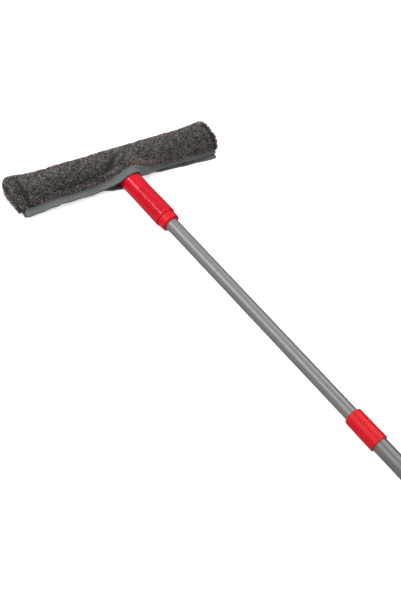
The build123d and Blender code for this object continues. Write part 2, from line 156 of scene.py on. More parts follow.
def makeWeaveGroup():
    group, source, target = newGroup("tapeWeave", {"Warp": 60.0, "Weft": 900.0}, ["Height", "Thread"])
    u, v = mapPlace(group)
    warp = mathNode(group, "MULTIPLY", v, source.outputs["Warp"])
    weft = mathNode(group, "MULTIPLY", u, source.outputs["Weft"])
    across = mathNode(group, "SINE", mathNode(group, "MULTIPLY", warp, math.pi))
    lengthways = mathNode(group, "SINE", mathNode(group, "MULTIPLY", weft, math.pi))
    height = mathNode(group, "MULTIPLY", across, lengthways)
    group.links.new(height, target.inputs["Height"])
    group.links.new(mathNode(group, "ABSOLUTE", height), target.inputs["Thread"])
    return group


grainGroup = makeGrainGroup()
weaveGroup = makeWeaveGroup()


# finishes
def newFinish(name):
    finish = bpy.data.materials.new(name)
    finish.use_nodes = True
    tree = finish.node_tree
    return finish, tree, tree.nodes["Principled BSDF"]


def placeGroup(tree, group, values):
    node = tree.nodes.new("ShaderNodeGroup")
    node.node_tree = group
    fill(node, values)
    return node


def tone(tree, factor, stops):
    ramp = tree.nodes.new("ShaderNodeValToRGB")
    colours = ramp.color_ramp
    while len(colours.elements) < len(stops):
        colours.elements.new(0.5)
    for element, (share, colour) in zip(colours.elements, stops):
        element.position = share
        element.color = (*colour, 1.0)
    tree.links.new(factor, ramp.inputs[0])
    return ramp.outputs[0]


noiseLow, noiseHigh = 0.3, 0.7  # noise stays near its middle, so this part of it is stretched over a range


def spread(tree, factor, low, high):
    node = tree.nodes.new("ShaderNodeMapRange")
    fill(node, {"From Min": noiseLow, "From Max": noiseHigh, "To Min": low, "To Max": high})
    tree.links.new(factor, node.inputs["Value"])
    return node.outputs[0]


def bump(tree, height, strength, depth, shader):
    node = tree.nodes.new("ShaderNodeBump")
    fill(node, {"Strength": strength, "Distance": depth * mm})
    tree.links.new(height, node.inputs["Height"])
    tree.links.new(node.outputs[0], shader.inputs["Normal"])


# the neck's ribbed panels, in millimetres and degrees: last groove from the head's middle line, pitch and count,
# where the panels sit round the pole, and the strength and colour of the painted shade in the grooves
ribShape = {
    "last": 100.0,
    "pitch": 2.8,
    "count": 17,
    "turn": 43,
    "half": 40,
    "narrow": 0.2,
    "shade": 0.32,
    "colour": (0.05, 0.0005, 0.0015, 1),
}


def grooveMask(tree, shape):
    # 1 in the grooves of the ribbed panels, 0 elsewhere
    x, y, z = objectPlace(tree)
    count = mathNode(tree, "DIVIDE", mathNode(tree, "SUBTRACT", y, headY - shape["last"] * mm), shape["pitch"] * mm)
    wave = mathNode(tree, "COSINE", mathNode(tree, "MULTIPLY", count, 2 * math.pi))
    narrow = shape["narrow"]
    groove = mathNode(tree, "ADD", mathNode(tree, "MULTIPLY", wave, 1 + narrow), -narrow, clamp=True)
    row = mathNode(tree, "COMPARE", count, (shape["count"] - 1) / 2)
    row.node.inputs[2].default_value = shape["count"] / 2
    turn = math.radians(shape["turn"])
    high = mathNode(tree, "SUBTRACT", z, axisHeight)
    outward = mathNode(tree, "SUBTRACT", mathNode(tree, "MULTIPLY", high, math.cos(turn)),
                       mathNode(tree, "MULTIPLY", x, math.sin(turn)))
    radius = mathNode(tree, "SQRT", mathNode(tree, "ADD", mathNode(tree, "MULTIPLY", high, high),
                                             mathNode(tree, "MULTIPLY", x, x)))
    facing = mathNode(tree, "DIVIDE", mathNode(tree, "ABSOLUTE", outward), radius)
    panel = mathNode(tree, "GREATER_THAN", facing, math.cos(math.radians(shape["half"])))
    return mathNode(tree, "MULTIPLY", groove, mathNode(tree, "MULTIPLY", row, panel))


# moulded plastics, rubber and thread: darkest and lightest colour, roughness, gleam, and how fine and how deep
# the grain is
mouldedLooks = {
    "glossRed": {"deep": (0.36, 0.0013, 0.0088), "bright": (0.397, 0.0018, 0.0115), "rough": (0.11, 0.16),
                 "gleam": 0.17, "fine": 700.0, "pit": 0.05},
    "satinRed": {"deep": (0.385, 0.0033, 0.009), "bright": (0.423, 0.0043, 0.0114), "rough": (0.34, 0.46),
                 "gleam": 0.12, "fine": 1400.0, "pit": 0.3},
    "barPlastic": {"deep": (0.045, 0.046, 0.05), "bright": (0.07, 0.071, 0.075), "rough": (0.45, 0.6),
                   "gleam": 0.5, "fine": 1500.0, "pit": 0.35},
    "lockPlastic": {"deep": (0.5, 0.49, 0.45), "bright": (0.62, 0.61, 0.57), "rough": (0.4, 0.55),
                    "gleam": 0.5, "fine": 1200.0, "pit": 0.25},
    "bladeRubber": {"deep": (0.012, 0.012, 0.012), "bright": (0.024, 0.024, 0.023), "rough": (0.55, 0.75),
                    "gleam": 0.4, "fine": 1100.0, "pit": 0.4},
    "sewingThread": {"deep": (0.03, 0.033, 0.033), "bright": (0.06, 0.065, 0.064), "rough": (0.6, 0.8),
                     "gleam": 0.2, "fine": 2600.0, "pit": 0.6},
}
mouldedGrain = {"broad": 28.0, "depth": 0.08}


def mouldedFinish(name, ribs=None):
    look = mouldedLooks[name]
    finish, tree, shader = newFinish(name)
    grain = placeGroup(tree, grainGroup, {"Fine scale": look["fine"], "Broad scale": mouldedGrain["broad"]})
    colour = tone(tree, grain.outputs["Broad"], [(noiseLow, look["deep"]), (noiseHigh, look["bright"])])
    if ribs:
        # painted shade: the grooves are painted darker, as shade falls between the ribs
        shade = tree.nodes.new("ShaderNodeMix")
        shade.data_type = "RGBA"
        tree.links.new(mathNode(tree, "MULTIPLY", grooveMask(tree, ribs), ribs["shade"]), shade.inputs["Factor"])
        tree.links.new(colour, shade.inputs[6])
        shade.inputs[7].default_value = ribs["colour"]
        colour = shade.outputs[2]
    tree.links.new(colour, shader.inputs["Base Color"])
    tree.links.new(spread(tree, grain.outputs["Broad"], *look["rough"]), shader.inputs["Roughness"])
    fill(shader, {"Specular IOR Level": look["gleam"]})
    bump(tree, grain.outputs["Fine"], look["pit"], mouldedGrain["depth"], shader)
    return finish


tubeLook = {
    "thin": ((0.101, 0.098, 0.0955), (0.125, 0.122, 0.1195)),
    "thick": ((0.083, 0.0805, 0.078), (0.103, 0.1005, 0.098)),
    "stops": (0.25, 0.75),
    "rough": (0.33, 0.43),
    "metal": 0.17,
    "grain": {"Fine scale": 1500.0, "Broad scale": 55.0, "Stretch": 14.0},  # drawn out along the tube
    "pit": 0.12,
    "depth": 0.06,
}
steelLook = {
    "bare": ((0.45, 0.46, 0.47), (0.62, 0.62, 0.61)),
    "stops": (noiseLow, noiseHigh),
    "rough": (0.25, 0.45),
    "metal": 1.0,
    "grain": {"Fine scale": 2200.0, "Broad scale": 160.0},
    "pit": 0.15,
    "depth": 0.05,
}


def metalFinish(name, look, colours):
    finish, tree, shader = newFinish(name)
    grain = placeGroup(tree, grainGroup, look["grain"])
    stops = list(zip(look["stops"], colours))
    tree.links.new(tone(tree, grain.outputs["Broad"], stops), shader.inputs["Base Color"])
    tree.links.new(spread(tree, grain.outputs["Fine"], *look["rough"]), shader.inputs["Roughness"])
    fill(shader, {"Metallic": look["metal"]})
    bump(tree, grain.outputs["Fine"], look["pit"], look["depth"], shader)
    return finish


pileLook = {
    # colours from a strand's root to its tip; the near-black roots are painted shade deep in the pile
    "stops": [(0.0, (0.0054, 0.0043, 0.0037)), (0.5, (0.056, 0.0462, 0.0412)), (1.0, (0.262, 0.222, 0.201))],
    "patches": 0.15,  # share of the broad patches in a tuft's shade
    "shade": (0.1, 1.8),
    "kind": (0.75, 0.5),  # shade of the darkest kind of tuft, and how much lighter the lightest is
    "surface": {"Roughness": 0.85, "Sheen Weight": 0.2, "Sheen Roughness": 0.5, "Specular IOR Level": 0.2},
}


def pileFinish():
    # the UV map holds the kind of tuft and the height on the strand, the attribute each tuft's shade
    finish, tree, shader = newFinish("charcoalPile")
    kind, up = mapPlace(tree)
    grain = placeGroup(tree, grainGroup, {"Broad scale": 22.0})
    tuftShade = tree.nodes.new("ShaderNodeAttribute")
    tuftShade.attribute_name = "shade"
    mottled = mathNode(tree, "ADD", mathNode(tree, "MULTIPLY", tuftShade.outputs["Fac"], 1 - pileLook["patches"]),
                       mathNode(tree, "MULTIPLY", grain.outputs["Broad"], pileLook["patches"]))
    darkest, lighter = pileLook["kind"]
    shade = mathNode(tree, "MULTIPLY", spread(tree, mottled, *pileLook["shade"]),
                     mathNode(tree, "ADD", mathNode(tree, "MULTIPLY", kind, lighter), darkest))
    # darker towards the strand's root: painted shade deep in the pile
    height = mathNode(tree, "MULTIPLY", up, shade, clamp=True)
    tree.links.new(tone(tree, height, pileLook["stops"]), shader.inputs["Base Color"])
    fill(shader, pileLook["surface"])
    return finish


backingLook = {"deep": (0.006, 0.005, 0.0045), "bright": (0.014, 0.012, 0.011), "rough": 0.92, "pit": 0.5,
               "depth": 0.4}


def backingFinish():
    finish, tree, shader = newFinish("knittedBacking")
    grain = placeGroup(tree, grainGroup, {"Fine scale": 700.0})
    stops = [(noiseLow, backingLook["deep"]), (noiseHigh, backingLook["bright"])]
    tree.links.new(tone(tree, grain.outputs["Fine"], stops), shader.inputs["Base Color"])
    fill(shader, {"Roughness": backingLook["rough"]})
    bump(tree, grain.outputs["Fine"], backingLook["pit"], backingLook["depth"], shader)
    return finish


tapeLook = {
    "grey": ((0.041, 0.046, 0.0455), (0.076, 0.085, 0.084)),
    "black": ((0.012, 0.012, 0.013), (0.03, 0.03, 0.032)),
    "stops": (0.2, 0.8),
    "thread": 0.45,  # how much the threads and the broad patches show
    "patches": 0.6,
    "rough": (0.62, 0.8),
    "sheen": 0.15,
    "pit": 0.35,
    "depth": 0.25,
}


def tapeFinish(name, colours):
    finish, tree, shader = newFinish(name)
    weave = placeGroup(tree, weaveGroup, {"Warp": 26.0, "Weft": 560.0})
    grain = placeGroup(tree, grainGroup, {"Fine scale": 600.0, "Broad scale": 35.0})
    mixed = mathNode(tree, "ADD", mathNode(tree, "MULTIPLY", weave.outputs["Thread"], tapeLook["thread"]),
                     mathNode(tree, "MULTIPLY", grain.outputs["Broad"], tapeLook["patches"]))
    tree.links.new(tone(tree, mixed, list(zip(tapeLook["stops"], colours))), shader.inputs["Base Color"])
    tree.links.new(spread(tree, grain.outputs["Fine"], *tapeLook["rough"]), shader.inputs["Roughness"])
    fill(shader, {"Sheen Weight": tapeLook["sheen"]})
    bump(tree, weave.outputs["Height"], tapeLook["pit"], tapeLook["depth"], shader)
    return finish


neckRed = mouldedFinish("glossRed", ribShape)
trimRed = mouldedFinish("satinRed")
barGrey = mouldedFinish("barPlastic")
lockWhite = mouldedFinish("lockPlastic")
bladeBlack = mouldedFinish("bladeRubber")
thinGrey = metalFinish("satinGreyTube", tubeLook, tubeLook["thin"])
thickGrey = metalFinish("satinDarkTube", tubeLook, tubeLook["thick"])
pileGrey = pileFinish()
backingGrey = backingFinish()
tapeGrey = tapeFinish("greyTape", tapeLook["grey"])
stripBlack = tapeFinish("stripWeave", tapeLook["black"])
threadGrey = mouldedFinish("sewingThread")
boltSteel = metalFinish("zincSteel", steelLook, steelLook["bare"])

nodeFinish = {
    "neck_grip": neckRed,
    "pole_tip": trimRed,
    "guide_collar": trimRed,
    "hand_grip": trimRed,
    "end_cap": trimRed,
    "inner_tube": thinGrey,
    "outer_tube": thickGrey,
    "head_bar": barGrey,
    "bar_end_caps": barGrey,
    "rubber_blade": bladeBlack,
    "neck_screws": boltSteel,
    "neck_nuts": boltSteel,
    "lock_screw": boltSteel,
    "lock_cone": lockWhite,
    "tube_plug": lockWhite,
    "expander_sleeve": lockWhite,
}
for name, finish in nodeFinish.items():
    nodes[name].data.materials.clear()
    nodes[name].data.materials.append(finish)
print("finishes made:", len(bpy.data.materials))


# pieces
def meshFrom(name, work):
    mesh = bpy.data.meshes.new(name)
    work.to_mesh(mesh)
    work.free()
    return mesh


def addPiece(name, mesh, finish):
    piece = bpy.data.objects.new(name, mesh)
    scene.collection.objects.link(piece)
    mesh.materials.clear()
    mesh.materials.append(finish)
    mesh.shade_smooth()
    return piece


def bake(piece):
    # replaces a piece's mesh by its finished one, with no modifier left
    view = bpy.context.evaluated_depsgraph_get()
    mesh = bpy.data.meshes.new_from_object(piece.evaluated_get(view))
    piece.modifiers.clear()
    piece.data = mesh


# shape of the washing sleeve across the head, in millimetres from the head's middle line and the pole axis
clothShape = {
    "columns": 240,
    "rows": 84,
    "crowding": 0.25,  # how much closer the columns stand near the ends
    "wall": 1.6,
    "girth": 112,
    "core": (4, -3),  # middle of the roll
    # the neck's arch in the flap, from its edge up to the roll: middle, reach to the left and share of the lift
    "arch": [(2, 33, 0.58), (3, 32, 0.6), (4, 22, 1), (6, 19, 1), (11, 15, 1), (19, 15, 1)],
    "archRight": 46,
    "settle": 95,  # where the flap lies flat again
    "neckRoom": 16.9,
    # outer face of the cloth, from the front flap's edge over the roll to the back flap's edge
    "lying": [(-15.2, -5.2), (-12.4, 0.2), (-7.6, 4.2), (-3.0, 9.8), (3.5, 13.3), (11.0, 14.2), (22.2, 11.6),
              (28.0, 0.0), (21.8, -10.4), (11.0, -13.2), (0.0, -13.4), (-11.0, -13.8)],
    "lifted": [(-20.5, 18.8), (-15.5, 19.9), (-9.5, 19.5), (-3.5, 18.5), (3.5, 17.0), (11.0, 15.6), (22.2, 11.6),
               (28.0, 0.0), (21.8, -10.4), (11.0, -13.6), (0.0, -15.6), (-11.0, -17.0)],
    # height added to the lying front flap along the head, and its share at the flap's second point
    "flapWave": [(-175, -0.5), (-150, 0.4), (-115, 2.2), (-80, 0.6), (-40, 0.0), (20, 0.0), (60, 1.0), (110, 1.4),
                 (145, -0.6), (170, -0.8)],
    "waveShare": 0.7,
    # width of the edge left without pile under the tape, and the way on to full pile
    "hem": [(-175, 1.9), (-90, 1.4), (-60, 0.6), (-15, 0.3), (20, 0.7), (60, 1.4), (120, 1.2), (145, 0.9),
            (175, 1.2)],
    "hemFade": 1.2,
    # how far the flap bulges in front of the crease, and how deep the crease to the roll is
    "bulge": [(-170, 0.0), (-140, 1.0), (-110, 2.0), (-60, 2.8), (-38, 1.2), (-20, 0.0), (175, 0.0)],
    "crease": [(-170, 0.3), (-130, 0.8), (-105, 1.4), (-85, 3.0), (-50, 3.2), (-25, 0.6), (40, 0.3), (80, 0.5),
               (170, 0.1)],
    "creasePull": (1.2, -1.6),  # which way a crease of depth 1 draws the cloth
    "creasePlace": 0.105,  # its place and half width on the way round, and the depth from which the pile parts
    "creaseHalf": 0.04,
    "creaseFrom": 0.6,
    # how far the roll hangs over the flap on the right, and which way it pushes the flap's points
    "belly": [(20, 0.0), (60, 2.0), (110, 3.0), (175, 3.0)],
    "bellyPush": [(-0.6, 0), (-1.1, 0.5), (-0.6, 0.4)],
    # ridge and valley beside the arch: place and half width along the head, middle and reach across it
    "ridge": {"place": 2.8, "slope": 2.0, "half": 9, "height": 2.4, "middle": -2, "reach": 11},
    "valley": {"place": -21.7, "slope": 1.9, "half": 13, "height": -2.9, "middle": 3, "reach": 12},
    "valleyBare": 0.8,
    # closed ends, left and right
    "endInset": 0.8,  # pile left standing past the cloth's end
    "endRound": (2.4, 4.0),
    "endNarrow": 0.04,
    "endSwell": (0.11, 0.07),
    "swellReach": (40, 45),
    "swellFoot": -13,
    "endSkew": (3.4, -2.6),  # how far the left end leans in at the flap's edge and out at the roll
    "skewPlace": (0.15, 0.5),  # its middle and half width on the way round
    "rightReach": (3.8, 0.6),  # how far the right end reaches out at the flap's edge and elsewhere
    "flapShare": 0.3,  # the flap's share of the way round
    "leanReach": 60,
    "mouthMiddle": -10.4,  # height that the ends close on at the mouth, and where it begins across the head
    "mouthStart": 10,
    "mouthRun": 25.5,
    "closing": [(0, 0.9), (0.12, 0.5), (0.35, 0)],  # heights on the end face, and how bare it is there
    "seam": 6.0,  # end seam: its distance from the cloth's end, half width, depth and flat middle
    "seamHalf": 4.4,
    "seamDepth": 1.6,
    "seamFlat": 1.3,
    "seamFade": (6, 14),  # across the head, where it begins to fade and how far on it is gone
    "fringe": 0.5,  # the last tufts at the right end stand longer
    "fringeReach": 4,
    "fullness": 1.0,
    "sway": (0.8, 0.035),  # broad and fine waves, height and scale
    "ripple": (0.5, 0.11),
    "edgeRows": 9,  # rows at the front edge over which the waves set in
    "flatBelow": -11.5,  # underside, pressed flat by the floor
    "flatShare": 0.3,
}


def hump(x, half):
    share = min(abs(x) / half, 1)
    return 1 - share * share * (3 - 2 * share)


def lift(x, arch, right, settle):
    # 1 over the neck, 0 where the flap lies
    middle, left, share = arch
    away = x - middle
    return share * hump(away, left if away < 0 else right) + (1 - share) * hump(away, settle)


def between(low, high, share):
    return low + (high - low) * share


def limit(share):
    return min(max(share, 0), 1)


def along(table, x):
    # smooth value between the listed places along the head
    if x <= table[0][0]:
        return table[0][1]
    for (start, low), (end, high) in zip(table, table[1:]):
        if x <= end:
            return between(high, low, hump(x - start, end - start))
    return table[-1][1]


neckBlend = 0.8  # millimetres over which a height passes into the neck's round


def overNeck(x, z, room):
    # lifts a height smoothly clear of the round neck
    if abs(x) >= room:
        return z
    floor = math.sqrt(room * room - x * x)
    return (z + floor + math.hypot(z - floor, neckBlend)) / 2


def smoothRun(points, steps):
    # even points on a smooth curve through the given ones
    line = []
    for i in range(len(points) - 1):
        before = points[max(i - 1, 0)]
        start, end = points[i], points[i + 1]
        after = points[min(i + 2, len(points) - 1)]
        part = interpolate_bezier(start, start + (end - before) / 6, end - (after - start) / 6, end, 12)
        line += part[:-1]
    line.append(points[-1])
    lengths = [0.0]
    for a, b in zip(line, line[1:]):
        lengths.append(lengths[-1] + (b - a).length)
    even = []
    spot = 0
    for i in range(steps + 1):
        want = lengths[-1] * i / steps
        while spot < len(line) - 2 and lengths[spot + 1] < want:
            spot += 1
        share = (want - lengths[spot]) / max(lengths[spot + 1] - lengths[spot], 1e-9)
        even.append(line[spot].lerp(line[spot + 1], share))
    return even


def clothPoints(x):
    # points that the cloth's outer face passes at x, as (y, z)
    points = []
    for i, (low, high) in enumerate(zip(clothShape["lying"], clothShape["lifted"])):
        arch = clothShape["arch"][i if i < len(clothShape["arch"]) else 0]
        share = lift(x, arch, clothShape["archRight"], clothShape["settle"])
        points.append(Vector((between(low[0], high[0], share), between(low[1], high[1], share))))
    raised = lift(x, clothShape["arch"][0], clothShape["archRight"], clothShape["settle"])
    wave = along(clothShape["flapWave"], x) * (1 - raised)
    points[0].y += wave
    points[1].y += wave * clothShape["waveShare"] + along(clothShape["bulge"], x) * (1 - raised)
    points[2] += Vector(clothShape["creasePull"]) * along(clothShape["crease"], x)
    belly = along(clothShape["belly"], x)
    for point, away in zip(points[1:4], clothShape["bellyPush"]):
        point += Vector(away) * belly
    for point in points[:4]:
        point.y = overNeck(x, point.y, clothShape["neckRoom"])
    return points


def seamShare(y):
    # the end seam is lost in the pile towards the back
    start, reach = clothShape["seamFade"]
    return hump(max(y - start, 0), reach)


def roundEnd(share):
    # profile of the closed ends, between a quarter circle and a corner
    return (1 - share ** 4) ** (1 / 4)


def clothRow(x, half, steps):
    # one cross row of the cloth's outer face at x, drawn together at the closed ends
    row = smoothRun(clothPoints(x), steps)
    side = x > 0
    inside = min((half - abs(x)) / clothShape["endRound"][side], 1)
    full = roundEnd(1 - inside)
    swell = 1 + clothShape["endSwell"][side] * hump(half - abs(x), clothShape["swellReach"][side])
    seam = clothShape["seamDepth"] * hump(half - abs(x) - clothShape["seam"], clothShape["seamHalf"])
    narrow = 1 - clothShape["endNarrow"] + clothShape["endNarrow"] * full
    coreY, coreZ = clothShape["core"]
    inner, outer = clothShape["endSkew"]
    skewMiddle, skewHalf = clothShape["skewPlace"]
    near, far = clothShape["rightReach"]
    leftShare, rightShare = (hump(away, clothShape["leanReach"]) for away in (half + x, half - x))
    made = []
    for i, point in enumerate(row):
        flap = hump(i / steps, clothShape["flapShare"])
        lean = between(outer, inner, flap) * hump(i / steps - skewMiddle, skewHalf) * leftShare
        lean += between(far, near, flap) * rightShare
        middle = clothShape["mouthMiddle"] * limit((clothShape["mouthStart"] - point.x) / clothShape["mouthRun"])
        y = between(coreY, point.x, narrow * swell)
        z = between(middle, between(clothShape["swellFoot"], point.y, swell), full)
        inward = Vector((0, coreY - y, max(coreZ - z, coreZ)))
        made.append(Vector((x + lean, y, z)) + inward.normalized() * seam * seamShare(y))
    return made


def place(point):
    # from the cloth's own millimetres into the frame
    return Vector((point[0] * mm, headY + point[1] * mm, axisHeight + point[2] * mm))


def gridPiece(name, columns, rows, spot, finish, bare=None):
    # a flat grid whose points are moved to spot(column, row), with a UV map in shares
    sheet = bmesh.new()
    thin = sheet.verts.layers.float.new("thin") if bare else None
    bmesh.ops.create_grid(sheet, x_segments=columns, y_segments=rows, size=0.5)
    shares = sheet.loops.layers.uv.new("weave")
    for face in sheet.faces:
        for loop in face.loops:
            loop[shares].uv = (loop.vert.co.x + 0.5, loop.vert.co.y + 0.5)
    for vert in sheet.verts:
        column = round((vert.co.x + 0.5) * columns)
        row = round((vert.co.y + 0.5) * rows)
        vert.co = spot(column, row)
        if bare:
            vert[thin] = bare(column, row)
    bmesh.ops.recalc_face_normals(sheet, faces=sheet.faces)
    top = max(sheet.faces, key=lambda face: face.calc_center_median().z)
    if top.normal.z < 0:
        bmesh.ops.reverse_faces(sheet, faces=sheet.faces)
    return addPiece(name, meshFrom(name, sheet), finish)


def foldShare(point, fold):
    across = hump(point.x - fold["place"] - fold["slope"] * point.y, fold["half"])
    return across * hump(point.y - fold["middle"], fold["reach"])


def makeCloth():
    steps, rows = clothShape["columns"], clothShape["rows"]
    half = sleeveHalf / mm - clothShape["endInset"]
    crowding = clothShape["crowding"]
    coreY, coreZ = clothShape["core"]
    folds = (clothShape["ridge"], clothShape["valley"])
    closing = [thin for height, thin in clothShape["closing"]]
    # columns stand closer together near the ends, and several share the end face
    shares = [2 * step / steps - 1 for step in range(1, steps)]
    face = [1 - roundEnd(height) for height, thin in clothShape["closing"]]
    left, right = clothShape["endRound"]
    places = [left * share - half for share in face]
    places += [half * ((1 + crowding) * share - crowding * share ** 3) for share in shares]
    places += [half - right * share for share in face[::-1]]
    columns = len(places) - 1
    table = [clothRow(x, half, rows) for x in places]

    def spot(column, row):
        point = table[column][row]
        wave = sum(noise.noise(point * scale) * height
                   for height, scale in (clothShape["sway"], clothShape["ripple"]))
        wave += clothShape["fullness"]
        if point.z > 0:
            wave += sum(fold["height"] * foldShare(point, fold) for fold in folds)
        if point.z < clothShape["flatBelow"]:
            wave = min(wave, 0) * clothShape["flatShare"]
        away = Vector((0, point.y - coreY, point.z - coreZ)).normalized()
        return place(point + away * wave * min(row / clothShape["edgeRows"], 1))

    def bare(column, row):
        # the pile is short along the end seams, in the crease and in the fold beside the arch, and its tufts there get
        # painted shade
        x, y, z = table[column][row]
        fromSeam = half - abs(places[column]) - clothShape["seam"]
        seam = min(hump(fromSeam, clothShape["seamHalf"]) * clothShape["seamFlat"], 1) * seamShare(y)
        depth = limit((along(clothShape["crease"], x) - clothShape["creaseFrom"]) / clothShape["creaseFrom"])
        crease = depth * hump(row / rows - clothShape["creasePlace"], clothShape["creaseHalf"])
        valley = clothShape["valleyBare"] * foldShare(table[column][row], folds[1]) if z > 0 else 0
        # none stands under the tape
        around = row / rows * clothShape["girth"]
        hem = 1 - limit((around - along(clothShape["hem"], x)) / clothShape["hemFade"])
        long = clothShape["fringe"] * hump(half - x, clothShape["fringeReach"]) if z > 0 else 0
        end = min(column, columns - column)
        tuck = closing[end] if end < len(closing) else 0
        return max(seam, crease, valley, hem, tuck) - long

    return gridPiece("pileCloth", columns, rows, spot, backingGrey, bare)


cloth = makeCloth()
print("cloth made:", len(cloth.data.polygons), "faces")

# pile: short bent strands in tufts, spread over the cloth, in millimetres
pileShape = {
    "length": 3.6,
    "lengths": (0.8, 1.1),
    "strand": 0.2,
    "strandSizes": (0.8, 1.25),
    "strands": 4,
    "jitter": 0.3,
    "root": 0.26,
    "sunk": 0.4,
    "growth": [(0.6, (0.1, 0.3), 0.95), (0.4, (0.2, 0.9), 0.45)],  # share of the length, lean and end size of each part
    "kinds": 8,
    "gap": 1.0,
    "densest": 1.2e6,  # tufts per square metre
    "thinning": 3.0,
    "clump": 450.0,  # how finely the clumps are mixed, and how far they lean
    "clumpLean": 1.0,
    "ownLean": 0.15,
    "sizes": (0.8, 1.2),
    "pressed": (0.5, 1.15, 0.12),  # height above the floor, room to stand up in lengths, and what is left
    "bareCut": 0.8,  # how much shorter the tufts in bare places are, and how much painted shade darkens them
    "paintedBareShade": 0.55,
    "shade": 1100.0,  # how finely light and dark spots are mixed, and their share in a tuft's shade
    "shadeSpots": 0.5,
    "panels": 8,
    "panelReach": 6,  # past the sleeve's ends
    "seed": 7,
}


def makeTuft(number):
    dice = random.Random(pileShape["seed"] * 100 + number)
    tuft = bmesh.new()
    heights = tuft.loops.layers.uv.new("weave")
    length = pileShape["length"] * mm
    jitter = pileShape["jitter"]
    for strand in range(pileShape["strands"]):
        start = bmesh.ops.create_circle(
            tuft, cap_ends=True, segments=3, radius=pileShape["strand"] * mm * dice.uniform(*pileShape["strandSizes"])
        )
        turn = 2 * math.pi * (strand + dice.uniform(-jitter, jitter)) / (pileShape["strands"] - 1)
        out = pileShape["root"] * mm if strand else 0
        root = Vector((math.cos(turn) * out, math.sin(turn) * out, -pileShape["sunk"] * mm))
        bmesh.ops.translate(tuft, verts=start["verts"], vec=root)
        cap = start["verts"][0].link_faces[0]
        reach = length * dice.uniform(*pileShape["lengths"])
        # up and outwards, then a curl to any side
        growth = [(share, dice.uniform(*leans), size) for share, leans, size in pileShape["growth"]]
        for share, lean, size in growth:
            grown = bmesh.ops.extrude_face_region(tuft, geom=[cap])
            tip = [item for item in grown["geom"] if isinstance(item, bmesh.types.BMVert)]
            caps = [item for item in grown["geom"] if isinstance(item, bmesh.types.BMFace)]
            tuft.faces.remove(cap)
            cap = caps[0]
            step = Vector((math.cos(turn) * lean, math.sin(turn) * lean, 1)).normalized() * reach * share
            bmesh.ops.translate(tuft, verts=tip, vec=step)
            bmesh.ops.scale(tuft, verts=tip, vec=(size, size, 1),
                            space=Matrix.Translation(-cap.calc_center_median()))
            turn = dice.uniform(0, 2 * math.pi)
    bmesh.ops.recalc_face_normals(tuft, faces=tuft.faces)
    for face in tuft.faces:
        for loop in face.loops:
            loop[heights].uv = ((number + 0.5) / pileShape["kinds"], limit(loop.vert.co.z / length))
    mesh = meshFrom("tuft", tuft)
    mesh.shade_smooth()
    return bpy.data.objects.new(f"tuft{number}", mesh)


